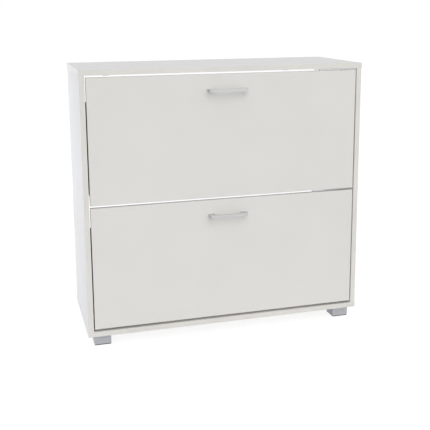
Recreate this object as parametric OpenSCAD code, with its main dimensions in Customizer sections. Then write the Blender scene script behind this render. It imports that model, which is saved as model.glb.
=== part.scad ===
// Shoe cabinet with two tip-out flaps, millimetres.
// X runs across the cabinet, the flaps face -Y and Z is up. The floor is z = 0, and the origin is
// the middle of the whole cabinet's plan, handles included.

/* [Case] */
// Width over the top and bottom panels
body_w = 850; // [600:1:1000]
// Depth of the case from its front edges to its open back
body_d = 328; // [310:1:400]
// Height of the case without its feet
body_h = 778; // [740:1:900]
// Thickness of the case panels and flap fronts
panel_t = 15; // [15:1:19]
// How far the top and bottom panels stand proud of each side panel
cap_overhang = 1.5; // [0:0.5:4]
// Height of the two back rails
rail_h = 80; // [60:1:110]

/* [Feet] */
// Side of each square foot
foot_w = 50; // [40:1:60]
// Height of each foot with its pad
foot_h = 34; // [24:1:60]
// Distance of each foot from the case's front, back and ends
foot_inset = 17; // [8:1:40]
// Thickness of the pad under each foot
pad_t = 3; // [2:0.5:5]
// How far the pad's edge lies inside the foot's edge
pad_margin = 1; // [0.5:0.5:4]

/* [Flaps] */
// Gap between each flap end and the side panel
side_gap = 3.5; // [3:0.5:6]
// Gap above the upper flap
top_gap = 6; // [5:0.5:12]
// Gap between the two flaps
middle_gap = 7; // [7:0.5:14]
// Gap below the lower flap
bottom_gap = 8; // [7:0.5:16]
// Angle through which a flap tips out
open_angle = 55; // [30:1:58]

/* [Hinge] */
// Distance of the pivot behind the flap's rear face
pivot_gap = 7; // [6.5:0.5:10]
// Height of the pivot above the flap's lower edge
pivot_up = 40; // [38:0.5:44]
// Diameter of the pivot pins
pin_d = 8; // [6:0.5:10]
// Diameter of the bush's body in the side panel
bush_d = 12; // [11.5:0.5:14]
// Diameter of the bush's flange
bush_flange_d = 20; // [16:1:24]
// Thickness of the bush's flange
bush_flange_t = 2; // [1:0.5:3]
// Depth of the bush and peg holes in the side panels
socket_depth = 11; // [9:0.5:12]
// Diameter of the stop pegs
peg_d = 8; // [6:0.5:10]
// Distance of the stop pegs from the pivot
peg_radius = 205; // [150:1:225]
// Direction of the stop pegs from the pivot, measured back from upright
peg_angle = 25; // [20:1:30]

/* [Cheeks] */
// Radius of each cheek's round edge about the pivot
cheek_r = 253; // [250:1:265]
// Thickness of the cheek plate
cheek_t = 6; // [5:0.5:8]
// How far the cheek lies inside the flap's end
cheek_inset = 3; // [2:0.5:8]
// Height of the cheek's lower edge above the flap's lower edge
cheek_lift = 32; // [28:0.5:33]
// Depth of the stop groove in the cheek's outer face
groove_depth = 3.5; // [2.5:0.5:4]
// How far the ribs that hold the compartment boards stand out
rib_reach = 9; // [6:1:14]
// Thickness of those ribs
rib_t = 2.5; // [2:0.5:4]
// How far the cheek runs on behind the rear board
cheek_margin = 22; // [14:1:30]
// Side of the square screw lugs
lug_w = 20; // [16:1:26]
// Thickness of the screw lugs
lug_t = 4; // [3:0.5:6]

/* [Compartment boards] */
// Thickness of the compartment boards
board_t = 8; // [6:0.5:10]
// Clear depth of the front shoe row
front_row = 100; // [90:1:105]
// Clear depth of the rear shoe row
rear_row = 95; // [80:1:100]
// Height of the front floor's top above the pivot
front_floor_up = 4; // [3.5:0.5:8]
// Step from the front floor up to the rear floor
row_step = 25; // [15:1:35]
// Height of the divider above the front floor
divider_h = 150; // [110:1:170]
// Height of the rear board above the rear floor
rear_board_h = 104; // [70:1:108]
// Distance of the outer corner blocks from the middle
block_spread = 250; // [150:10:260]

/* [Handles] */
// Length of a handle
handle_len = 118; // [112:1:160]
// Distance between a handle's screws
handle_pitch = 96; // [64:1:98]
// How far a handle stands out from the flap
handle_reach = 24; // [18:1:35]
// Height of a handle
handle_h = 10; // [9:1:20]
// Thickness of a handle's bow
handle_t = 5; // [4:0.5:8]
// Length of metal around each screw at the handle's ends
handle_foot = 14; // [10:1:18]
// Distance of the handle's middle below the flap's top edge
handle_drop = 46.5; // [30:0.5:80]

/* [Fasteners] */
// Diameter of a cam lock
cam_d = 15; // [12:0.5:15]
// Depth of a cam lock
cam_depth = 12; // [10:0.5:12.5]
// Distance of a cam lock's centre from the end of its board
cam_edge = 34; // [24:1:40]
// Distance of the cam locks from the case's front and back
cam_inset = 46; // [36:1:80]
// Diameter of a cam bolt's shank
bolt_d = 7; // [5:0.5:7]
// Length of a cam bolt's thread in the facing board
bolt_thread = 9; // [8:0.5:11]
// Diameter of a dowel
dowel_d = 8; // [6:1:8]
// Length of a dowel
dowel_len = 28; // [20:1:36]
// Distance between a cam bolt and the dowel beside it
dowel_step = 32; // [20:1:40]
// Diameter of the wood screws' shank
screw_d = 3.5; // [3:0.5:4]
// Diameter of the wood screws' head
screw_head_d = 7; // [6:0.5:8]
// Diameter of the handle screws' shank
handle_screw_d = 4; // [3:0.5:5]
// Width of a wall bracket
bracket_w = 20; // [16:1:30]
// Length of a wall bracket's two legs
bracket_leg = 28; // [24:1:30]
// Thickness of a wall bracket
bracket_t = 2; // [1.5:0.5:3]
// Diameter of the wall bracket's wall hole
wall_hole_d = 5.5; // [4:0.5:7]
// Distance of the wall brackets from the case's ends
bracket_inset = 120; // [60:1:200]

/* [Hidden] */
$fn = 48;
// Radial clearance of a pin, peg or bush in its hole
fit = 0.05;
// Running gap between a turning face and a fixed one
run = 0.5;
// Clearance of a board in its channel, and of a fastener in its hole
slack = 0.2;
// Side clearance of the stop peg in its groove
groove_slack = 0.4;

// The case
front_y = (handle_reach - body_d) / 2;
back_y = front_y + body_d;
case_z = foot_h;
case_top_z = case_z + body_h;
side_x = body_w / 2 - cap_overhang;
inner_x = side_x - panel_t;
side_z = case_z + panel_t;
side_h = body_h - 2 * panel_t;
rail_y = back_y - panel_t;

// The flaps
flap_h = (side_h - top_gap - middle_gap - bottom_gap) / 2;
flap_x = inner_x - side_gap;
lower_flap_z = side_z + bottom_gap;
upper_flap_z = lower_flap_z + flap_h + middle_gap;
pivot_y = front_y + panel_t + pivot_gap;
cheek_x = flap_x - cheek_inset;
cheek_inner_x = cheek_x - cheek_t;

// How deep the cheek's ribs, lugs and boss are rooted in its plate
root = cheek_t / 3;
web_reach = 3 * lug_t;

// Places in a compartment, as distances behind and above the pivot
flap_back = -pivot_gap;
cheek_low = cheek_lift - pivot_up;
divider_back = flap_back + front_row;
rear_floor_back = divider_back + board_t;
rear_board_back = rear_floor_back + rear_row;
rear_floor_up = front_floor_up + row_step;
board_x = cheek_inner_x - slack;
lug_heights = [55, 140, 225];

// The feet, the rails and the fasteners
foot_x = side_x - foot_inset - foot_w / 2;
foot_ys = [front_y + foot_inset + foot_w / 2, back_y - foot_inset - foot_w / 2];
middle_rail_z = upper_flap_z - middle_gap / 2 - rail_h / 2;
rail_zs = [side_z, middle_rail_z];
cam_ys = [front_y + cam_inset, back_y - cam_inset];
dowel_ys = [cam_ys[0] + dowel_step, cam_ys[1] - dowel_step];
rail_joint_step = 28;
rail_bolt_up = (rail_h - rail_joint_step) / 2;
rail_dowel_up = (rail_h + rail_joint_step) / 2;
bolt_past_centre = 1;
bolt_len = bolt_thread + cam_edge + bolt_past_centre;
dowel_in_face = dowel_len / 3;
dowel_in_end = dowel_len - dowel_in_face;
cam_slot_w = 1.6;
cam_slot_depth = 2;
head_t = 2;
foot_screw_step = 24;
foot_screw_seat = 12;
foot_screw_grip = 10;
handle_screw_head_d = 8;
handle_screw_grip = 8;
lug_screw_grip = 10;
bracket_screw_grip = 10;
bracket_x = body_w / 2 - bracket_inset;
bracket_screw_in = 9;
bracket_screw_y = back_y - bracket_leg + bracket_screw_in;

// The hinge
boss_d = 2 * pivot_gap - 2 * slack;
boss_len = inner_x - bush_flange_t - run - cheek_x;
pin_start = cheek_inner_x + run;
pin_end = inner_x + socket_depth - run;
peg_start = cheek_x - groove_depth + run;
groove_w = peg_d + 2 * groove_slack;
groove_end_angle = asin(groove_w / 2 / peg_radius);

// Cross sections of the compartment boards: distance back, height up, depth and height
front_floor_at = [flap_back, front_floor_up - board_t, front_row + board_t, board_t];
divider_at = [divider_back, front_floor_up, board_t, divider_h];
rear_floor_at = [rear_floor_back, rear_floor_up - board_t, rear_row + board_t, board_t];
rear_board_at = [rear_board_back, rear_floor_up, board_t, rear_board_h];
compartment = [front_floor_at, divider_at, rear_floor_at, rear_board_at];
cheek_back = rear_board_back + board_t + cheek_margin;

// The blocks that join the front floor to the flap
block_w = 30;
block_side = 14;
block_xs = [-block_spread, 0, block_spread];
block_screw_grip = 6;

// The handles
bow_outer = handle_len / 2;
bow_inner = handle_pitch / 2 - handle_foot / 2;
bow_power = 6;
bow_steps = 36;

// A board whose middle in X is at 0, from its low Y and Z corner
module board(w, d, h, y, z) {
    translate([-w / 2, y, z])
        cube([w, d, h]);
}

// Cylinders that start at their origin and run along Z, X or Y
module rod_z(d, len) {
    cylinder(d = d, h = len);
}
module rod_x(d, len) {
    rotate([0, 90, 0])
        rod_z(d, len);
}
module rod_y(d, len) {
    rotate([-90, 0, 0])
        rod_z(d, len);
}

// A screw that is driven up from a seat at z = 0, its head below it
module screw_up(d, head_d, len) {
    translate([0, 0, -head_t])
        rod_z(head_d, head_t);
    rod_z(d - 2 * fit, len);
}

// One copy at each end of the cabinet
module both_ends() {
    children();
    mirror([1, 0, 0])
        children();
}

// Places in the upper and the lower flap, from the pivot
module in_upper_flap() {
    translate([0, pivot_y, upper_flap_z + pivot_up]) children();
}
module in_lower_flap() {
    translate([0, pivot_y, lower_flap_z + pivot_up]) children();
}

// The right end's two pivots and two stop pegs
module at_pivots() {
    in_upper_flap() children();
    in_lower_flap() children();
}
module at_pegs() {
    at_pivots()
        rotate([-peg_angle, 0, 0])
            translate([0, 0, peg_radius]) children();
}

// Places along the joint of a side panel with the top or bottom panel
module at_side_joints(ys) {
    both_ends()
        for (y = ys)
            translate([side_x - panel_t / 2, y, 0]) children();
}

// The right ends of both rails, at a height above each rail's lower edge
module at_rail_ends(up) {
    for (z = rail_zs)
        translate([inner_x, rail_y + panel_t / 2, z + up]) children();
}

// Both sides of each foot's middle
module at_foot_screws() {
    both_ends()
        for (y = foot_ys, dx = [-1, 1] * foot_screw_step / 2)
            translate([foot_x + dx, y, 0]) children();
}

module at_brackets() {
    both_ends()
        translate([bracket_x, 0, 0]) children();
}

// Case panels

// Holes in the face of the top or bottom panel, running up from z = 0
module face_holes() {
    translate([0, 0, -slack]) {
        at_side_joints(cam_ys) rod_z(bolt_d, bolt_thread + 2 * slack);
        at_side_joints(dowel_ys) rod_z(dowel_d + 2 * fit, dowel_in_face + 2 * slack);
    }
}

module top_panel() {
    color("#dddddf")
        translate([0, 0, side_z + side_h])
            difference() {
                board(body_w, body_d, panel_t, front_y, 0);
                face_holes();
                at_brackets()
                    translate([0, bracket_screw_y, -slack])
                        rod_z(screw_d, bracket_screw_grip + 2 * slack);
            }
}

module bottom_panel() {
    color("#dcdbd7")
        translate([0, 0, case_z])
            difference() {
                board(body_w, body_d, panel_t, front_y, 0);
                translate([0, 0, panel_t]) mirror([0, 0, 1]) face_holes();
                at_foot_screws()
                    translate([0, 0, -slack]) rod_z(screw_d, foot_screw_grip + 2 * slack);
            }
}

// Holes in the end of a side panel, running up from z = 0
module end_holes() {
    both_ends()
        for (y = cam_ys)
            translate([inner_x - slack, y, cam_edge]) rod_x(cam_d + 2 * fit, cam_depth + slack);
    translate([0, 0, -slack]) {
        at_side_joints(cam_ys) rod_z(bolt_d + 2 * slack, cam_edge + slack);
        at_side_joints(dowel_ys) rod_z(dowel_d + 2 * fit, dowel_in_end + 2 * slack);
    }
}

// The right side panel; the left one is its mirror image
module side_panel() {
    difference() {
        translate([inner_x, front_y, side_z])
            cube([panel_t, body_d, side_h]);
        translate([0, 0, side_z]) end_holes();
        translate([0, 0, side_z + side_h]) mirror([0, 0, 1]) end_holes();
        at_pivots()
            translate([inner_x - slack, 0, 0]) rod_x(bush_d + 2 * fit, socket_depth + slack);
        at_pegs()
            translate([inner_x - slack, 0, 0]) rod_x(peg_d + 2 * fit, socket_depth + slack);
        translate([-slack, 0, 0]) {
            at_rail_ends(rail_bolt_up) rod_x(bolt_d, bolt_thread + 2 * slack);
            at_rail_ends(rail_dowel_up) rod_x(dowel_d + 2 * fit, dowel_in_face + 2 * slack);
        }
    }
}

module right_side() {
    color("#e6e7eb") side_panel();
}

module left_side() {
    color("#e6e7eb") mirror([1, 0, 0]) side_panel();
}

// A back rail with a cam pocket, a bolt hole and a dowel hole in each end
module rail(z) {
    difference() {
        board(2 * inner_x, panel_t, rail_h, rail_y, z);
        both_ends() {
            translate([inner_x - cam_edge, back_y + slack, z + rail_bolt_up])
                mirror([0, 1, 0]) rod_y(cam_d + 2 * fit, cam_depth + slack);
            translate([inner_x - cam_edge, rail_y + panel_t / 2, z + rail_bolt_up])
                rod_x(bolt_d + 2 * slack, cam_edge + slack);
            translate([inner_x - dowel_in_end - slack, rail_y + panel_t / 2, z + rail_dowel_up])
                rod_x(dowel_d + 2 * fit, dowel_in_end + 2 * slack);
        }
    }
}

module middle_rail() {
    color("#e6e7eb") rail(rail_zs[1]);
}

module bottom_rail() {
    color("#e6e7eb") rail(rail_zs[0]);
}

// Feet

// A square block with its middle at 0, and its two screw holes
module foot() {
    color("#b3b4b8")
        difference() {
            translate([-foot_w / 2, -foot_w / 2, pad_t])
                cube([foot_w, foot_w, foot_h - pad_t]);
            for (dx = [-1, 1] * foot_screw_step / 2)
                translate([dx, 0, pad_t - slack]) {
                    rod_z(screw_d + 2 * slack, foot_h);
                    rod_z(screw_head_d + 2 * slack, foot_h - pad_t - foot_screw_seat + slack);
                }
        }
}

module foot_pad() {
    pad_w = foot_w - 2 * pad_margin;
    color("#4b4240")
        translate([-pad_w / 2, -pad_w / 2, 0])
            cube([pad_w, pad_w, pad_t]);
}

module foot_front_left() {
    translate([-foot_x, foot_ys[0], 0]) foot();
}
module foot_front_right() {
    translate([foot_x, foot_ys[0], 0]) foot();
}
module foot_back_left() {
    translate([-foot_x, foot_ys[1], 0]) foot();
}
module foot_back_right() {
    translate([foot_x, foot_ys[1], 0]) foot();
}
module foot_pad_front_left() {
    translate([-foot_x, foot_ys[0], 0]) foot_pad();
}
module foot_pad_front_right() {
    translate([foot_x, foot_ys[0], 0]) foot_pad();
}
module foot_pad_back_left() {
    translate([-foot_x, foot_ys[1], 0]) foot_pad();
}
module foot_pad_back_right() {
    translate([foot_x, foot_ys[1], 0]) foot_pad();
}

module foot_screws() {
    color("#b9b9bb")
        translate([0, 0, case_z - foot_screw_seat])
            at_foot_screws() screw_up(screw_d, screw_head_d, foot_screw_seat + foot_screw_grip);
}

// Knock-down fasteners

// A cam lock whose driven face is at z = 0 and whose bolt comes in along X
module cam_lock() {
    difference() {
        rod_z(cam_d, cam_depth);
        translate([-bolt_past_centre - slack, 0, panel_t / 2])
            rod_x(bolt_d + 2 * slack, cam_d);
        for (turn = [0, 90])
            rotate([0, 0, turn])
                translate([-cam_d / 3, -cam_slot_w / 2, -slack])
                    cube([cam_d * 2 / 3, cam_slot_w, cam_slot_depth + slack]);
    }
}

// The cam locks of both side panels at one end, running up from z = 0
module side_cams() {
    both_ends()
        for (y = cam_ys)
            translate([inner_x, y, cam_edge]) rotate([0, 90, 0]) cam_lock();
}

module cam_locks() {
    color("#8d8d90") {
        translate([0, 0, side_z]) side_cams();
        translate([0, 0, side_z + side_h]) mirror([0, 0, 1]) side_cams();
        both_ends()
            at_rail_ends(rail_bolt_up)
                translate([-cam_edge, panel_t / 2, 0]) rotate([90, 0, 0]) cam_lock();
    }
}

// A cam bolt whose thread runs up from z = 0 and whose shank runs down
module cam_bolt() {
    translate([0, 0, bolt_thread - bolt_len])
        rod_z(bolt_d - 2 * fit, bolt_len);
}

module cam_bolts() {
    color("#b9b9bb") {
        translate([0, 0, side_z + side_h]) at_side_joints(cam_ys) cam_bolt();
        translate([0, 0, side_z]) at_side_joints(cam_ys) mirror([0, 0, 1]) cam_bolt();
        both_ends()
            at_rail_ends(rail_bolt_up) rotate([0, 90, 0]) cam_bolt();
    }
}

// A dowel that goes up into a face and down into the end of a board
module dowel() {
    translate([0, 0, -dowel_in_end])
        rod_z(dowel_d, dowel_len);
}

module dowels() {
    color("#cfae7c") {
        translate([0, 0, side_z + side_h]) at_side_joints(dowel_ys) dowel();
        translate([0, 0, side_z]) at_side_joints(dowel_ys) mirror([0, 0, 1]) dowel();
        both_ends()
            at_rail_ends(rail_dowel_up) rotate([0, 90, 0]) dowel();
    }
}

// Wall brackets, which hang below the top panel at the back

module bracket() {
    difference() {
        union() {
            translate([-bracket_w / 2, back_y - bracket_leg, -bracket_t])
                cube([bracket_w, bracket_leg, bracket_t]);
            translate([-bracket_w / 2, back_y - bracket_t, -bracket_leg])
                cube([bracket_w, bracket_t, bracket_leg]);
        }
        translate([0, bracket_screw_y, -bracket_t - slack])
            rod_z(screw_d + 2 * slack, bracket_t + 2 * slack);
        translate([0, back_y - bracket_t - slack, -bracket_leg / 2])
            rod_y(wall_hole_d, bracket_t + 2 * slack);
    }
}

module wall_brackets() {
    color("#b9b9bb")
        translate([0, 0, side_z + side_h])
            at_brackets() bracket();
}

module bracket_screws() {
    color("#b9b9bb")
        translate([0, bracket_screw_y, side_z + side_h - bracket_t])
            at_brackets() screw_up(screw_d, screw_head_d, bracket_t + bracket_screw_grip);
}

// Hinge pieces in the side panels

module bush() {
    difference() {
        union() {
            translate([inner_x - bush_flange_t, 0, 0]) rod_x(bush_flange_d, bush_flange_t);
            translate([inner_x - bush_flange_t, 0, 0])
                rod_x(bush_d, bush_flange_t + socket_depth - slack);
        }
        translate([inner_x - bush_flange_t - slack, 0, 0])
            rod_x(pin_d + 2 * fit, bush_flange_t + socket_depth + slack);
    }
}

module pivot_bushes() {
    color("#efefec") both_ends() at_pivots() bush();
}

module pivot_pins() {
    color("#b9b9bb")
        both_ends() at_pivots()
            translate([pin_start, 0, 0]) rod_x(pin_d, pin_end - pin_start);
}

module stop_pegs() {
    color("#b9b9bb")
        both_ends() at_pegs()
            translate([peg_start, 0, 0]) rod_x(peg_d, inner_x + socket_depth - peg_start);
}

// Compartments, measured back and up from the pivot

// Turns X and Y into the distances back and up, and Z into the distance along the cabinet
module side_view() {
    rotate([90, 0, 90]) children();
}

// A compartment board's cross section, grown by a margin on every side
module section(at, grow = 0) {
    translate([at[0] - grow, at[1] - grow])
        square([at[2] + 2 * grow, at[3] + 2 * grow]);
}

// The curved groove in which the stop peg runs, as long as the flap's travel and the peg
module stop_groove() {
    rotate([0, 0, 90 - peg_angle - open_angle - groove_end_angle])
        rotate_extrude(angle = open_angle + 2 * groove_end_angle)
            translate([peg_radius - groove_w / 2, 0])
                square([groove_w, groove_depth + slack]);
}

// The plate's outline: a round edge about the pivot, cut off at the flap, below and behind
module cheek_outline() {
    intersection() {
        circle(r = cheek_r);
        translate([flap_back, cheek_low])
            square([cheek_back - flap_back, cheek_r - cheek_low]);
    }
}

// Ribs on both faces of every board's end, rooted in the plate
module channels() {
    translate([0, 0, cheek_inner_x - rib_reach])
        linear_extrude(rib_reach + root)
            difference() {
                intersection() {
                    union() {
                        for (at = compartment)
                            section(at, slack + rib_t);
                    }
                    cheek_outline();
                }
                for (at = compartment)
                    section(at, slack);
            }
}

// A lug against the flap, with the web that stiffens it, both rooted in the plate
module lug() {
    translate([cheek_inner_x - lug_w, flap_back, -lug_w / 2]) {
        cube([lug_w + root, lug_t, lug_w]);
        cube([lug_w + root, web_reach, rib_t]);
    }
}

// The right cheek
module cheek_body() {
    difference() {
        union() {
            side_view() {
                translate([0, 0, cheek_inner_x]) linear_extrude(cheek_t) cheek_outline();
                channels();
            }
            translate([cheek_x - root, 0, 0]) rod_x(boss_d, boss_len + root);
            for (up = lug_heights)
                translate([0, 0, up]) lug();
        }
        translate([cheek_inner_x - slack, 0, 0])
            rod_x(pin_d + 2 * fit, cheek_t + boss_len + 2 * slack);
        side_view()
            translate([0, 0, cheek_x - groove_depth]) stop_groove();
        for (up = lug_heights)
            translate([cheek_inner_x - lug_w / 2, flap_back - slack, up])
                rod_y(screw_d + 2 * slack, lug_t + 2 * slack);
    }
}

module cheek() {
    color("#3d3836") cheek_body();
}

module compartment_board(at) {
    color("#e4e3df")
        board(2 * board_x, at[2], at[3], at[0], at[1]);
}

// A block in the corner of the front floor and the flap, with its two screw holes
module corner_block() {
    difference() {
        translate([-block_w / 2, flap_back, front_floor_up])
            cube([block_w, block_side, block_side]);
        translate([block_w / 4, flap_back - slack, front_floor_up + block_side / 2])
            rod_y(screw_d + 2 * slack, block_side + 2 * slack);
        translate([-block_w / 4, flap_back + block_side / 2, front_floor_up - slack])
            rod_z(screw_d + 2 * slack, block_side + 2 * slack);
    }
}

module corner_blocks() {
    color("#efefec")
        for (x = block_xs)
            translate([x, 0, 0]) corner_block();
}

// Places of the screws that go forward into the flap, and down into the front floor
module at_lug_screws() {
    both_ends()
        for (up = lug_heights)
            translate([cheek_inner_x - lug_w / 2, flap_back, up]) children();
}
module at_block_screws() {
    for (x = block_xs)
        translate([x + block_w / 4, flap_back, front_floor_up + block_side / 2]) children();
}
module at_floor_screws() {
    for (x = block_xs)
        translate([x - block_w / 4, flap_back + block_side / 2, front_floor_up]) children();
}

module flap_screws() {
    color("#b9b9bb") {
        at_lug_screws()
            translate([0, lug_t, 0]) rotate([90, 0, 0])
                screw_up(screw_d, screw_head_d, lug_t + lug_screw_grip);
        at_block_screws()
            translate([0, block_side, 0]) rotate([90, 0, 0])
                screw_up(screw_d, screw_head_d, block_side + lug_screw_grip);
        at_floor_screws()
            translate([0, 0, block_side]) mirror([0, 0, 1])
                screw_up(screw_d, screw_head_d, block_side + block_screw_grip);
    }
}

module front_floor() {
    difference() {
        compartment_board(front_floor_at);
        at_floor_screws()
            translate([0, 0, slack]) mirror([0, 0, 1]) rod_z(screw_d, block_screw_grip + 2 * slack);
    }
}

// Flap fronts and handles

module at_handle() {
    translate([0, flap_back - panel_t, flap_h - pivot_up - handle_drop]) children();
}

module at_handle_screws() {
    at_handle()
        for (x = [-1, 1] * handle_pitch / 2)
            translate([x, 0, 0]) children();
}

module flap_front() {
    color("#dcdbd7")
        difference() {
            board(2 * flap_x, panel_t, flap_h, flap_back - panel_t, -pivot_up);
            at_handle_screws()
                translate([0, -slack, 0]) rod_y(handle_screw_d + 2 * slack, panel_t + 2 * slack);
            translate([0, slack, 0]) {
                at_lug_screws() mirror([0, 1, 0]) rod_y(screw_d, lug_screw_grip + 2 * slack);
                at_block_screws() mirror([0, 1, 0]) rod_y(screw_d, lug_screw_grip + 2 * slack);
            }
        }
}

// Points of a flat-topped arch of a given half length and height, from right to left
function bow(half, height) = [
    for (i = [0:bow_steps])
        let (c = cos(180 * i / bow_steps), s = sin(180 * i / bow_steps))
            [half * sign(c) * pow(abs(c), 2 / bow_power), height * pow(abs(s), 2 / bow_power)]
];

module handle() {
    color("#c4c4c6")
        difference() {
            at_handle()
                translate([0, 0, -handle_h / 2])
                    linear_extrude(handle_h)
                        mirror([0, 1])
                            difference() {
                                polygon(bow(bow_outer, handle_reach));
                                translate([0, -slack])
                                    polygon(bow(bow_inner, handle_reach - handle_t + slack));
                            }
            at_handle_screws()
                translate([0, slack, 0])
                    mirror([0, 1, 0]) rod_y(handle_screw_d, handle_screw_grip + 2 * slack);
        }
}

module handle_screws() {
    color("#b9b9bb")
        at_handle_screws()
            translate([0, panel_t, 0]) rotate([90, 0, 0])
                screw_up(handle_screw_d, handle_screw_head_d, panel_t + handle_screw_grip);
}

// The upper flap with its compartment

module upper_flap_front() {
    in_upper_flap() flap_front();
}
module upper_cheek_left() {
    in_upper_flap() mirror([1, 0, 0]) cheek();
}
module upper_cheek_right() {
    in_upper_flap() cheek();
}
module upper_front_floor() {
    in_upper_flap() front_floor();
}
module upper_divider() {
    in_upper_flap() compartment_board(divider_at);
}
module upper_rear_floor() {
    in_upper_flap() compartment_board(rear_floor_at);
}
module upper_rear_board() {
    in_upper_flap() compartment_board(rear_board_at);
}
module upper_corner_blocks() {
    in_upper_flap() corner_blocks();
}
module upper_flap_screws() {
    in_upper_flap() flap_screws();
}
module upper_handle() {
    in_upper_flap() handle();
}
module upper_handle_screws() {
    in_upper_flap() handle_screws();
}

// The lower flap with its compartment

module lower_flap_front() {
    in_lower_flap() flap_front();
}
module lower_cheek_left() {
    in_lower_flap() mirror([1, 0, 0]) cheek();
}
module lower_cheek_right() {
    in_lower_flap() cheek();
}
module lower_front_floor() {
    in_lower_flap() front_floor();
}
module lower_divider() {
    in_lower_flap() compartment_board(divider_at);
}
module lower_rear_floor() {
    in_lower_flap() compartment_board(rear_floor_at);
}
module lower_rear_board() {
    in_lower_flap() compartment_board(rear_board_at);
}
module lower_corner_blocks() {
    in_lower_flap() corner_blocks();
}
module lower_flap_screws() {
    in_lower_flap() flap_screws();
}
module lower_handle() {
    in_lower_flap() handle();
}
module lower_handle_screws() {
    in_lower_flap() handle_screws();
}

top_panel();
bottom_panel();
left_side();
right_side();
middle_rail();
bottom_rail();
foot_front_left();
foot_front_right();
foot_back_left();
foot_back_right();
foot_pad_front_left();
foot_pad_front_right();
foot_pad_back_left();
foot_pad_back_right();
foot_screws();
cam_locks();
cam_bolts();
dowels();
wall_brackets();
bracket_screws();
pivot_bushes();
pivot_pins();
stop_pegs();
upper_flap_front();
upper_cheek_left();
upper_cheek_right();
upper_front_floor();
upper_divider();
upper_rear_floor();
upper_rear_board();
upper_corner_blocks();
upper_flap_screws();
upper_handle();
upper_handle_screws();
lower_flap_front();
lower_cheek_left();
lower_cheek_right();
lower_front_floor();
lower_divider();
lower_rear_floor();
lower_rear_board();
lower_corner_blocks();
lower_flap_screws();
lower_handle();
lower_handle_screws();
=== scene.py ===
import math
import bpy
from mathutils import Matrix, Vector


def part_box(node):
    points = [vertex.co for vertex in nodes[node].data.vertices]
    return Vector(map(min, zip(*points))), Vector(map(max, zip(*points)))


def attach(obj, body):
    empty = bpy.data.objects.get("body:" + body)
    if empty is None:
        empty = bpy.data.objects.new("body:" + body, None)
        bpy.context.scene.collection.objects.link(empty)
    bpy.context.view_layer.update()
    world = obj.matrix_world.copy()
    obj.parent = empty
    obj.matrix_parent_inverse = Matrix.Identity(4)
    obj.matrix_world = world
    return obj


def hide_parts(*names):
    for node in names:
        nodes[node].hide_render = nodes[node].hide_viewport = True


# A white shoe cabinet with two tip-out flaps, in metres
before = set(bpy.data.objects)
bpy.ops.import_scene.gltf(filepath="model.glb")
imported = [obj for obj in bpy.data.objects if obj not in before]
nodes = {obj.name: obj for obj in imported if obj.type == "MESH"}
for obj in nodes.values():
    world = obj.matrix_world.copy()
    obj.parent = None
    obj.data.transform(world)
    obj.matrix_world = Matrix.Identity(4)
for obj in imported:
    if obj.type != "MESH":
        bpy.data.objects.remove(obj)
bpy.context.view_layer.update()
mm = 0.001
print("frame loaded:", len(nodes), "nodes")

shaping = {
    "merge": 1e-6,       # points closer than this are one
    "flatten": 0.5,      # degrees between two faces that are really one
    "roundAbove": 35,    # degrees between faces whose shared edge is rounded
    "smoothBelow": 40,   # degrees between faces that shade as one
    "square": 0.999,     # a normal this close to an axis lies along it
    "overcut": 1 * mm,   # how far a cutter stands out of the face that it cuts
    "touch": 1 * mm,     # boxes that share less than this only touch
}


def activate(*objs):
    if bpy.context.mode != "OBJECT":
        bpy.ops.object.mode_set(mode="OBJECT")
    bpy.ops.object.select_all(action="DESELECT")
    for obj in objs:
        obj.select_set(True)
    bpy.context.view_layer.objects.active = objs[0]


def pick(obj, kind, test):
    # leaves the object in edit mode with only those edges or faces selected
    activate(obj)
    mesh = obj.data
    for part in (*mesh.vertices, *mesh.edges, *mesh.polygons):
        part.select = False
    faces = kind == "faces"
    bpy.context.tool_settings.mesh_select_mode = (False, not faces, faces)
    for part in mesh.polygons if faces else mesh.edges:
        part.select = test(part)
        if part.select:
            for i in part.vertices:
                mesh.vertices[i].select = True
    bpy.ops.object.mode_set(mode="EDIT")


def applyPlace(obj):
    activate(obj)
    bpy.ops.object.transform_apply(location=True, rotation=True, scale=True)


def addBox(name, lo, hi):
    lo, hi = Vector(lo), Vector(hi)
    bpy.ops.mesh.primitive_cube_add(size=1, location=(lo + hi) / 2)
    obj = bpy.context.object
    obj.name = obj.data.name = name
    obj.scale = hi - lo
    applyPlace(obj)
    return obj


def addRod(name, radius, length, sides, low=0):
    # a cylinder along Z whose lower end is at low
    bpy.ops.mesh.primitive_cylinder_add(
        vertices=sides, radius=radius, depth=length, location=(0, 0, low + length / 2))
    obj = bpy.context.object
    obj.name = obj.data.name = name
    applyPlace(obj)
    return obj


def applyModifier(obj, kind, **settings):
    activate(obj)
    modifier = obj.modifiers.new(kind.lower(), kind)
    for key, value in settings.items():
        setattr(modifier, key, value)
    bpy.ops.object.modifier_apply(modifier=modifier.name)


def cut(obj, cutter):
    applyModifier(obj, "BOOLEAN", operation="DIFFERENCE", object=cutter, solver="EXACT")
    bpy.data.objects.remove(cutter)


def join(name, objs):
    activate(*objs)
    bpy.ops.object.join()
    obj = bpy.context.object
    obj.name = obj.data.name = name
    return obj


def copyOf(obj, matrix):
    made = bpy.data.objects.new(obj.name, obj.data.copy())
    bpy.context.scene.collection.objects.link(made)
    made.data.transform(matrix)
    return made


def mergedCopy(name, node):
    # a CAD node's mesh is loose triangles, so its copy is merged, and left in edit mode
    obj = bpy.data.objects.new(name, nodes[node].data.copy())
    bpy.context.scene.collection.objects.link(obj)
    activate(obj)
    bpy.ops.object.mode_set(mode="EDIT")
    bpy.ops.mesh.select_all(action="SELECT")
    bpy.ops.mesh.remove_doubles(threshold=shaping["merge"])
    return obj


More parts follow.
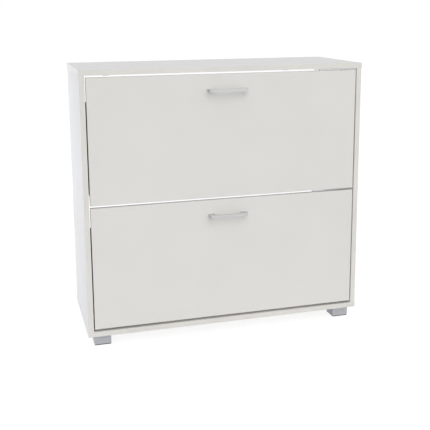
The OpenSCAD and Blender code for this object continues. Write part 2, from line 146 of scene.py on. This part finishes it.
def solidsOf(node):
    # the lowest and highest corner of each separate solid in a node
    mergedCopy("solids", node)
    bpy.ops.mesh.separate(type="LOOSE")
    bpy.ops.object.mode_set(mode="OBJECT")
    boxes = []
    for solid in list(bpy.context.selected_objects):
        places = [v.co for v in solid.data.vertices]
        boxes.append([Vector([end(p[i] for p in places) for i in range(3)]) for end in (min, max)])
        bpy.data.objects.remove(solid)
    return boxes


def aim(axis, sign, place):
    # turns +Z to the given side of the given axis, then moves to the place
    target = Vector([sign if i == axis else 0 for i in range(3)])
    turn = Vector((0, 0, 1)).rotation_difference(target).to_matrix().to_4x4()
    return Matrix.Translation(place) @ turn


def pieceName(node):
    first, *rest = node.split("_")
    return first + "".join(word.title() for word in rest)


def finish(obj, body, node, material=None):
    # with no material named here, the piece keeps the ones it has
    activate(obj)
    if material:
        obj.data.materials.clear()
        obj.data.materials.append(material)
    bpy.ops.object.shade_smooth_by_angle(angle=math.radians(shaping["smoothBelow"]))
    applyModifier(obj, "WEIGHTED_NORMAL", keep_sharp=True)
    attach(obj, body)
    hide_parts(node)


def linear(hexColour):
    shares = [int(hexColour[i:i + 2], 16) / 255 for i in (1, 3, 5)]
    return (*[c / 12.92 if c <= 0.04045 else ((c + 0.055) / 1.055) ** 2.4 for c in shares], 1)


def addNode(tree, kind, values=None, links=None, **settings):
    node = tree.nodes.new(kind)
    for key, value in settings.items():
        setattr(node, key, value)
    for key, value in (values or {}).items():
        node.inputs[key].default_value = value
    for key, source in (links or {}).items():
        tree.links.new(source, node.inputs[key])
    return node


noiseSpan = (0.3, 0.7)  # a noise seldom goes outside these, so a finish's two colours sit at them


def makeFinish(name, look):
    # a grain is a noise with its width in metres, and stretch draws it out along X, Y and Z;
    # colour, roughness and relief each say which grain varies them, and between what values
    material = bpy.data.materials.new(name)
    material.use_nodes = True
    tree = material.node_tree
    shader = tree.nodes["Principled BSDF"]
    for socket, value in look["shader"].items():
        shader.inputs[socket].default_value = value
    place = addNode(tree, "ShaderNodeTexCoord").outputs["Object"]
    noises = {}
    for key, grain in look["grains"].items():
        way = place
        if "stretch" in grain:
            scale = [1 / share for share in grain["stretch"]]
            way = addNode(tree, "ShaderNodeMapping", {"Scale": scale}, {"Vector": place}).outputs[0]
        noises[key] = addNode(
            tree, "ShaderNodeTexNoise", {"Scale": 1 / grain["width"], "Detail": grain["detail"]},
            {"Vector": way}).outputs["Fac"]
    colour, rough, relief = look["colour"], look["roughness"], look["relief"]
    ramp = addNode(tree, "ShaderNodeValToRGB", links={"Fac": noises[colour["grain"]]})
    stops = zip(ramp.color_ramp.elements, colour.get("span", noiseSpan), (colour["low"], colour["high"]))
    for stop, share, shade in stops:
        stop.position = share
        stop.color = linear(shade)
    spread = addNode(
        tree, "ShaderNodeMapRange", {"To Min": rough["low"], "To Max": rough["high"]},
        {"Value": noises[rough["grain"]]})
    bump = addNode(
        tree, "ShaderNodeBump", {"Distance": relief["depth"], "Strength": relief["strength"]},
        {"Height": noises[relief["grain"]]})
    tree.links.new(ramp.outputs["Color"], shader.inputs["Base Color"])
    tree.links.new(spread.outputs["Result"], shader.inputs["Roughness"])
    tree.links.new(bump.outputs["Normal"], shader.inputs["Normal"])
    return material


# Melamine-faced chipboard, pressed against a fine pearl plate: even white with a soft sheen.
# The pearl is drawn coarser than a real one, so that it shows.
melamine = makeFinish("white melamine board", {
    "shader": {"IOR": 1.5},
    "grains": {
        "cloud": {"width": 160 * mm, "detail": 1},
        "pearl": {"width": 1.4 * mm, "detail": 3},
    },
    "colour": {"grain": "cloud", "low": "#e9e8e3", "high": "#ebeae6"},
    "roughness": {"grain": "pearl", "low": 0.50, "high": 0.60},
    "relief": {"grain": "pearl", "depth": 0.02 * mm, "strength": 0.35},
})
# ABS edging, glued on and planed flush: a touch darker and glossier than the board's face.
# The planing marks are drawn coarser than real ones.
edging = makeFinish("white ABS edging", {
    "shader": {"IOR": 1.53},
    "grains": {
        "cloud": {"width": 90 * mm, "detail": 1},
        "planed": {"width": 0.9 * mm, "detail": 2},
    },
    "colour": {"grain": "cloud", "low": "#e6e4de", "high": "#ebe9e3"},
    "roughness": {"grain": "planed", "low": 0.34, "high": 0.40},
    "relief": {"grain": "planed", "depth": 0.01 * mm, "strength": 0.2},
})
# Moulded polypropylene from a spark-eroded tool: a dark brown with a fine even stipple,
# which is drawn coarser than a real one.
darkPlastic = makeFinish("dark moulded polypropylene", {
    "shader": {"IOR": 1.49},
    "grains": {
        "cloud": {"width": 30 * mm, "detail": 2},
        "stipple": {"width": 0.7 * mm, "detail": 2},
    },
    "colour": {"grain": "cloud", "low": "#332f2d", "high": "#3a3533"},
    "roughness": {"grain": "stipple", "low": 0.42, "high": 0.58},
    "relief": {"grain": "stipple", "depth": 0.04 * mm, "strength": 0.5},
})
# Moulded nylon with the same stipple: a warm white, no shinier than the dark plastic.
whitePlastic = makeFinish("white moulded nylon", {
    "shader": {"IOR": 1.49},
    "grains": {
        "cloud": {"width": 30 * mm, "detail": 2},
        "stipple": {"width": 0.7 * mm, "detail": 2},
    },
    "colour": {"grain": "cloud", "low": "#e2e1dc", "high": "#e9e8e4"},
    "roughness": {"grain": "stipple", "low": 0.42, "high": 0.58},
    "relief": {"grain": "stipple", "depth": 0.04 * mm, "strength": 0.5},
})
# Silver-lacquered ABS: small flakes in a satin coat, which give a cool grey with little shine.
# The flakes are drawn coarser than real ones, so that they show.
silverLacquer = makeFinish("silver lacquer on ABS", {
    "shader": {"Metallic": 0.1, "IOR": 1.5},
    "grains": {
        "flakes": {"width": 0.5 * mm, "detail": 2},
        "flow": {"width": 2 * mm, "detail": 2},
    },
    "colour": {"grain": "flakes", "low": "#babbc1", "high": "#c6c7ce", "span": (0.35, 0.65)},
    "roughness": {"grain": "flakes", "low": 0.42, "high": 0.54},
    "relief": {"grain": "flow", "depth": 0.02 * mm, "strength": 0.3},
})
# Zinc die-casting, brushed along its length and satin nickel plated: a soft grey, finely streaked.
# The strokes are drawn coarser than real ones.
satinNickel = makeFinish("satin nickel plate", {
    "shader": {"Metallic": 0.7},
    "grains": {"strokes": {"width": 0.35 * mm, "detail": 3, "stretch": (40, 1, 1)}},
    "colour": {"grain": "strokes", "low": "#bebfbf", "high": "#cacbca"},
    "roughness": {"grain": "strokes", "low": 0.46, "high": 0.58},
    "relief": {"grain": "strokes", "depth": 0.01 * mm, "strength": 0.5},
})
# Bright zinc plate on steel: shiny and a little cloudy.
zincPlate = makeFinish("bright zinc plate", {
    "shader": {"Metallic": 1},
    "grains": {
        "cloud": {"width": 6 * mm, "detail": 3},
        "haze": {"width": 1.5 * mm, "detail": 2},
        "skin": {"width": 0.6 * mm, "detail": 2},
    },
    "colour": {"grain": "cloud", "low": "#a9abaf", "high": "#c2c3c5"},
    "roughness": {"grain": "haze", "low": 0.25, "high": 0.40},
    "relief": {"grain": "skin", "depth": 0.02 * mm, "strength": 0.3},
})
# Bare zinc die-casting: darker and duller than the plate, with a fine cast skin. Its colour is darker
# than a plain casting's, so it also carries painted shade for the dim inside of the case.
dieCastAndShade = makeFinish("die-cast zinc and painted shade", {
    "shader": {"Metallic": 1},
    "grains": {
        "cloud": {"width": 3 * mm, "detail": 3},
        "haze": {"width": 0.75 * mm, "detail": 2},
        "skin": {"width": 0.3 * mm, "detail": 2},
    },
    "colour": {"grain": "cloud", "low": "#5a5a5c", "high": "#6c6c6e"},
    "roughness": {"grain": "haze", "low": 0.40, "high": 0.55},
    "relief": {"grain": "skin", "depth": 0.02 * mm, "strength": 0.3},
})
# Pressed felt: dull and dark, with short tangled fibres, drawn coarse enough to show.
felt = makeFinish("pressed felt", {
    "shader": {"IOR": 1.45, "Sheen Weight": 0.2},
    "grains": {"fibres": {"width": 0.9 * mm, "detail": 4, "stretch": (1, 3, 1)}},
    "colour": {"grain": "fibres", "low": "#3c3533", "high": "#5b504d"},
    "roughness": {"grain": "fibres", "low": 0.85, "high": 0.98},
    "relief": {"grain": "fibres", "depth": 0.2 * mm, "strength": 0.6},
})
# Turned birch: pale, with the grain along the dowels, which lie along X or stand along Z.
birch = makeFinish("birch", {
    "shader": {"IOR": 1.45},
    "grains": {"grain": {"width": 1.2 * mm, "detail": 4, "stretch": (4, 1, 8)}},
    "colour": {"grain": "grain", "low": "#c9a672", "high": "#dcc08f"},
    "roughness": {"grain": "grain", "low": 0.55, "high": 0.75},
    "relief": {"grain": "grain", "depth": 0.05 * mm, "strength": 0.4},
})
print("materials made:", len(bpy.data.materials))


board = {
    "round": 0.5 * mm,     # radius of every outer edge
    "roundSteps": 3,
    "band": 0.8 * mm,      # thickness of the glued edging
    "faceArea": 1e-3,      # faces larger than this, in square metres, carry the melamine
}
pocket = {"radius": 7.55 * mm, "depth": 12 * mm, "sides": 48}
camBoxes = solidsOf("cam_locks")


def camPlace(lo, hi):
    # the middle of the face of a cam lock that shows: at the back of a rail, or inside the case
    axis = min(range(3), key=lambda i: hi[i] - lo[i])
    face = (lo + hi) / 2
    sign = 1 if axis == 1 else -math.copysign(1, face.x)
    face[axis] = hi[axis] if sign > 0 else lo[axis]
    return aim(axis, sign, face)


def pocketCutter(lo, hi):
    depth = pocket["depth"]
    cutter = addRod("pocket", pocket["radius"], depth + shaping["overcut"], pocket["sides"], -depth)
    cutter.data.transform(camPlace(lo, hi))
    return cutter


def makeBoard(node, body, thin):
    # thin is the axis across the board: 0, 1 or 2
    lo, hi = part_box(node)
    obj = addBox(pieceName(node), lo, hi)
    pick(obj, "edges", lambda edge: True)
    bpy.ops.mesh.bevel(
        offset=board["round"], segments=board["roundSteps"], affect="EDGES", clamp_overlap=True)
    bpy.ops.object.mode_set(mode="OBJECT")
    obj.data.materials.append(edging)
    obj.data.materials.append(melamine)
    pick(obj, "faces", lambda face:
         abs(face.normal[thin]) > shaping["square"] and face.area > board["faceArea"])
    # the melamine stops at the edging, whose cut edge shows as a thin band round it
    bpy.ops.mesh.inset(thickness=board["band"] - board["round"], depth=0)
    obj.active_material_index = 1
    bpy.ops.object.material_slot_assign()
    bpy.ops.object.mode_set(mode="OBJECT")
    touch = shaping["touch"]
    for camLo, camHi in camBoxes:
        if all(camLo[i] < hi[i] - touch and camHi[i] > lo[i] + touch for i in range(3)):
            cut(obj, pocketCutter(camLo, camHi))
    finish(obj, body, node)


for node, thin in (
    ("top_panel", 2), ("bottom_panel", 2), ("left_side", 0), ("right_side", 0),
    ("middle_rail", 1), ("bottom_rail", 1),
):
    makeBoard(node, "case", thin)
for level in ("upper", "lower"):
    for part, thin in (
        ("flap_front", 1), ("front_floor", 2), ("divider", 1), ("rear_floor", 2), ("rear_board", 1),
    ):
        makeBoard(f"{level}_{part}", f"{level}_flap", thin)
print("boards made")


foot = {"slot": "silver_foot", "material": silverLacquer, "round": 0.8 * mm, "steps": 3}
footPad = {"slot": "foot_pad", "material": felt, "round": 0.6 * mm, "steps": 2}
pivotBush = {"slot": "white_plastic", "material": whitePlastic, "round": 0.3 * mm, "steps": 2}
pivotPin = {"slot": "zinc_steel", "material": zincPlate, "round": 0.4 * mm, "steps": 2}
stopPeg = {"slot": "zinc_steel", "material": zincPlate, "round": 0.5 * mm, "steps": 2}
wallBracket = {"slot": "zinc_steel", "material": zincPlate, "round": 0.4 * mm, "steps": 2}
cheek = {"slot": "dark_plastic", "material": darkPlastic, "round": 0.4 * mm, "steps": 2}
cornerBlock = {"slot": "white_plastic", "material": whitePlastic, "round": 0.8 * mm, "steps": 3}
handle = {"slot": "satin_silver", "material": satinNickel, "round": 1.6 * mm, "steps": 4}


def easedCopy(node, body, made):
    # the piece as built, with its flat faces made whole and its edges rounded
    obj = mergedCopy(pieceName(node), node)
    bpy.ops.mesh.dissolve_limited(angle_limit=math.radians(shaping["flatten"]))
    bpy.ops.object.mode_set(mode="OBJECT")
    applyModifier(
        obj, "BEVEL", width=made["round"], segments=made["steps"], limit_method="ANGLE",
        angle_limit=math.radians(shaping["roundAbove"]), use_clamp_overlap=True)
    finish(obj, body, node, made["material"])


for end in ("front_left", "front_right", "back_left", "back_right"):
    easedCopy(f"foot_{end}", "case", foot)
    easedCopy(f"foot_pad_{end}", "case", footPad)
for node, made in (
    ("pivot_bushes", pivotBush), ("pivot_pins", pivotPin), ("stop_pegs", stopPeg),
    ("wall_brackets", wallBracket),
):
    easedCopy(node, "case", made)
for level in ("upper", "lower"):
    for part, made in (
        ("cheek_left", cheek), ("cheek_right", cheek), ("corner_blocks", cornerBlock),
        ("handle", handle),
    ):
        easedCopy(f"{level}_{part}", f"{level}_flap", made)
print("eased copies made")


cam = {
    "radius": 7.5 * mm,
    "length": 12 * mm,
    "round": 0.4 * mm,
    "roundSteps": 2,
    "crossReach": 5 * mm,
    "crossWidth": 1.6 * mm,
    "crossDepth": 2 * mm,
    "sides": 40,
}
screw = {
    "headHeight": 2 * mm,
    "headRound": 0.7,         # share of the head's height that its rounded edge takes
    "headSteps": 4,
    "crossReach": 0.55,       # share of the head's radius
    "crossWidth": 0.9 * mm,
    "crossDepth": 1.2 * mm,
    "sides": 24,
}
smallScrew = {"headRadius": 3.5 * mm, "radius": 1.7 * mm}
handleScrew = {"headRadius": 4 * mm, "radius": 1.95 * mm}


def cutCross(obj, radius, width, depth, top):
    # a cross recess in the top of a head
    high = top + shaping["overcut"]
    for long in (0, 1):
        half = [width / 2, width / 2]
        half[long] = radius
        cut(obj, addBox("cross", (-half[0], -half[1], top - depth), (half[0], half[1], high)))


def roundTop(obj, above, width, steps):
    # rounds the edges that lie wholly above the given height
    pick(obj, "edges", lambda edge:
         all(obj.data.vertices[i].co.z > above for i in edge.vertices))
    bpy.ops.mesh.bevel(offset=width, segments=steps, affect="EDGES")
    bpy.ops.object.mode_set(mode="OBJECT")


def makeCams():
    model = addRod("cam", cam["radius"], cam["length"], cam["sides"], -cam["length"])
    roundTop(model, -cam["length"] / 2, cam["round"], cam["roundSteps"])
    cutCross(model, cam["crossReach"], cam["crossWidth"], cam["crossDepth"], 0)
    made = [copyOf(model, camPlace(lo, hi)) for lo, hi in camBoxes]
    bpy.data.objects.remove(model)
    finish(join("camLocks", made), "case", "cam_locks", dieCastAndShade)


def makeScrew(size, length):
    # a pan head above z = 0 with its shank below
    top = screw["headHeight"]
    head = addRod("screw", size["headRadius"], top, screw["sides"])
    roundTop(head, top / 2, screw["headRound"] * top, screw["headSteps"])
    cutCross(
        head, screw["crossReach"] * size["headRadius"], screw["crossWidth"], screw["crossDepth"], top)
    shank = addRod("shank", size["radius"], length - top, screw["sides"], top - length)
    return join("screw", [head, shank])


def placeScrews(node, body, heads, size):
    # heads says which end of each long axis has the head; each length is modelled once
    models = {}
    made = []
    for lo, hi in solidsOf(node):
        axis = max(range(3), key=lambda i: hi[i] - lo[i])
        sign = heads[axis]
        seat = (lo + hi) / 2
        seat[axis] = (hi if sign > 0 else lo)[axis] - sign * screw["headHeight"]
        length = hi[axis] - lo[axis]
        key = round(length / shaping["merge"])
        if key not in models:
            models[key] = makeScrew(size, length)
        made.append(copyOf(models[key], aim(axis, sign, seat)))
    for model in models.values():
        bpy.data.objects.remove(model)
    finish(join(pieceName(node), made), body, node, zincPlate)


makeCams()
placeScrews("foot_screws", "case", {2: -1}, smallScrew)
placeScrews("bracket_screws", "case", {2: -1}, smallScrew)
for level in ("upper", "lower"):
    placeScrews(f"{level}_flap_screws", f"{level}_flap", {1: 1, 2: 1}, smallScrew)
    placeScrews(f"{level}_handle_screws", f"{level}_flap", {1: 1}, handleScrew)
print("fasteners made")

# What stays inside the boards keeps its own shape
for node, material in (("cam_bolts", zincPlate), ("dowels", birch)):
    for slot in nodes[node].material_slots:
        slot.material = material


studioFloor = {
    "size": 60,
    "glow": 0.86,         # what the eye sees of the floor, before the light on it
    "seen": "#8a8a8a",
    "bounce": "#e6e6e4",  # what the floor gives back to the object
}
surroundings = {
    "seen": 1,                # strength of the white that the eye sees
    "ambient": 0.30,
    "wallGlow": 0.38,         # the white wall behind
    "wallWay": (-0.30, 0.95, 0),
    "wallEdge": (0.1, 0.8),   # how closely a ray follows wallWay where that glow starts and is full
}


def seenOrMirrored(tree):
    # 1 for what the eye sees, straight, in a gloss or through glass
    rays = addNode(tree, "ShaderNodeLightPath").outputs
    total = rays["Is Camera Ray"]
    for other in ("Is Glossy Ray", "Is Transmission Ray"):
        total = addNode(
            tree, "ShaderNodeMath", links={0: total, 1: rays[other]}, operation="ADD",
            use_clamp=True).outputs[0]
    return total


def makeFloor():
    bpy.ops.mesh.primitive_plane_add(size=studioFloor["size"])
    floor = bpy.context.object
    floor.name = "floor"
    material = bpy.data.materials.new("pale studio floor")
    material.use_nodes = True
    tree = material.node_tree
    tree.nodes.remove(tree.nodes["Principled BSDF"])
    glow = addNode(tree, "ShaderNodeEmission", {"Strength": studioFloor["glow"]})
    seen = addNode(tree, "ShaderNodeBsdfDiffuse", {"Color": linear(studioFloor["seen"])})
    both = addNode(tree, "ShaderNodeAddShader", links={0: glow.outputs[0], 1: seen.outputs[0]})
    bounce = addNode(tree, "ShaderNodeBsdfDiffuse", {"Color": linear(studioFloor["bounce"])})
    mixed = addNode(tree, "ShaderNodeMixShader", links={
        0: seenOrMirrored(tree), 1: bounce.outputs[0], 2: both.outputs[0]})
    tree.links.new(mixed.outputs[0], tree.nodes["Material Output"].inputs["Surface"])
    floor.data.materials.append(material)


def makeWorld():
    world = bpy.data.worlds.new("studio")
    bpy.context.scene.world = world
    world.use_nodes = True
    tree = world.node_tree
    back = tree.nodes["Background"]
    back.inputs["Color"].default_value = linear("#ffffff")
    way = addNode(tree, "ShaderNodeTexCoord").outputs["Generated"]
    towardsWall = addNode(
        tree, "ShaderNodeVectorMath", {1: surroundings["wallWay"]}, {0: way}, operation="DOT_PRODUCT")
    start, full = surroundings["wallEdge"]
    glow = addNode(tree, "ShaderNodeMapRange", {
        "From Min": start, "From Max": full,
        "To Min": surroundings["ambient"], "To Max": surroundings["wallGlow"],
    }, {"Value": towardsWall.outputs["Value"]})
    strength = addNode(  # a Mix node's inputs 0, 2 and 3 are its factor and its two numbers
        tree, "ShaderNodeMix", {3: surroundings["seen"]},
        {0: seenOrMirrored(tree), 2: glow.outputs["Result"]})
    tree.links.new(strength.outputs[0], back.inputs["Strength"])


lamps = {  # way is the direction the light travels in, and softness is in degrees
    "frontLamp": {"way": (0, 1, -0.45), "strength": 0.84, "colour": "#fffae0", "softness": 85},
    "highLamp": {"way": (0, 1, -1.7), "strength": 1.08, "colour": "#e2e6ff", "softness": 90},
    "rightLamp": {"way": (-1, 0.1, -0.15), "strength": 1.10, "colour": "#ffffff", "softness": 90},
}
wallLamp = {  # the light off the wall, which reaches in through the open back
    "place": (-1.8, 2.6, 0.45),
    "target": (0.2, 0, 0.45),
    "size": 1,      # metres
    "power": 69,    # watts
    "colour": "#edf1ff",
}


def addLamp(name, kind, way, strength, colour):
    lamp = bpy.data.lights.new(name, kind)
    lamp.energy = strength
    lamp.color = linear(colour)[:3]
    obj = bpy.data.objects.new(name, lamp)
    obj.rotation_euler = Vector(way).to_track_quat("-Z", "Y").to_euler()
    bpy.context.scene.collection.objects.link(obj)
    return obj


def makeLamps():
    for name, made in lamps.items():
        lamp = addLamp(name, "SUN", made["way"], made["strength"], made["colour"])
        lamp.data.angle = math.radians(made["softness"])
    place = Vector(wallLamp["place"])
    lamp = addLamp(
        "wallLamp", "AREA", Vector(wallLamp["target"]) - place, wallLamp["power"], wallLamp["colour"])
    lamp.location = place
    lamp.data.size = wallLamp["size"]
    lamp.visible_camera = lamp.visible_glossy = lamp.visible_transmission = False


view = {
    "place": (-0.6461, -2.2980, 0.9751),
    "turn": 15.817,   # degrees towards +X
    "tilt": 11.277,   # degrees down
    "roll": -0.373,   # degrees
    "lens": 65.03,    # millimetres
    "shift": -0.12,   # takes over part of the tilt, so the uprights lean less
    "reach": 200,     # metres, well past the floor's far corners
}


def makeCamera():
    camera = bpy.data.cameras.new("camera")
    camera.lens = view["lens"]
    camera.shift_y = view["shift"]
    camera.clip_end = view["reach"]
    obj = bpy.data.objects.new("camera", camera)
    turn = Matrix.Rotation(-math.radians(view["turn"]), 4, "Z")
    tilt = Matrix.Rotation(math.radians(90 - view["tilt"]), 4, "X")
    roll = Matrix.Rotation(math.radians(view["roll"]), 4, "Z")
    obj.matrix_world = Matrix.Translation(view["place"]) @ turn @ tilt @ roll
    bpy.context.scene.collection.objects.link(obj)
    bpy.context.scene.camera = obj


makeFloor()
makeWorld()
makeLamps()
makeCamera()
bpy.context.scene.view_settings.view_transform = "Standard"
print("studio ready")
